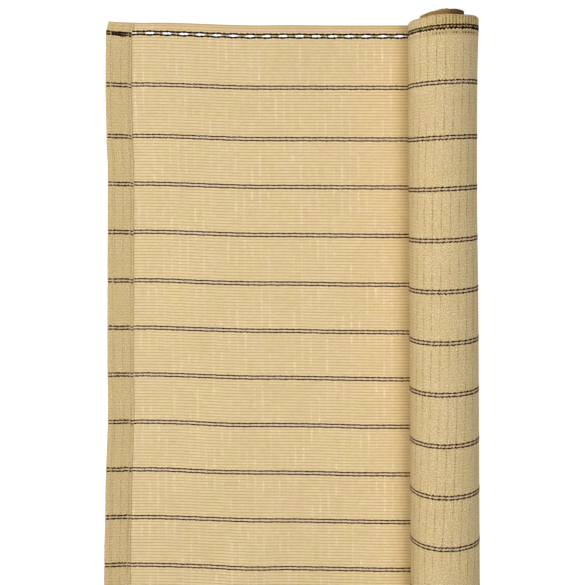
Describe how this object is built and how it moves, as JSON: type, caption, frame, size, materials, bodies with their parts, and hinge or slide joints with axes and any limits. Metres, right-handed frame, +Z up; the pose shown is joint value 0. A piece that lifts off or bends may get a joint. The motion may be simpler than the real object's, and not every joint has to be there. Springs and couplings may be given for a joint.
{
  "type": "shade net",
  "caption": "Knitted shade net with paired dark chain stripes and eyelet selvedges, laid flat from its hemmed loose end and wound on a cardboard tube.",
  "frame": {"origin": "centre of the bounding box's lower face, on the surface that the net lies on", "axes": "+X along the net's length from the loose end towards the roll, +Y across its width towards the top selvedge, +Z up"},
  "size_m": [0.524, 1.0242, 0.0935],
  "materials": {
    "net_front": "knitted beige polyethylene tape, light ribbed face, matt with a faint sheen",
    "net_reverse": "knitted beige polyethylene, darker stitched reverse face, matt",
    "stripe_chain": "dark brown-black knitted yarn, raised chains in pairs, matt",
    "seam_thread": "tan sewing thread of the hem, matt",
    "core_board": "brown spiral-wound board, matt"
  },
  "bodies": {
    "root": {"net_panel": "net_front", "eyelet_band_top": "net_front", "eyelet_band_bottom": "net_front", "net_roll": "net_reverse", "core_tube": "core_board"}
  },
  "joints": []
}
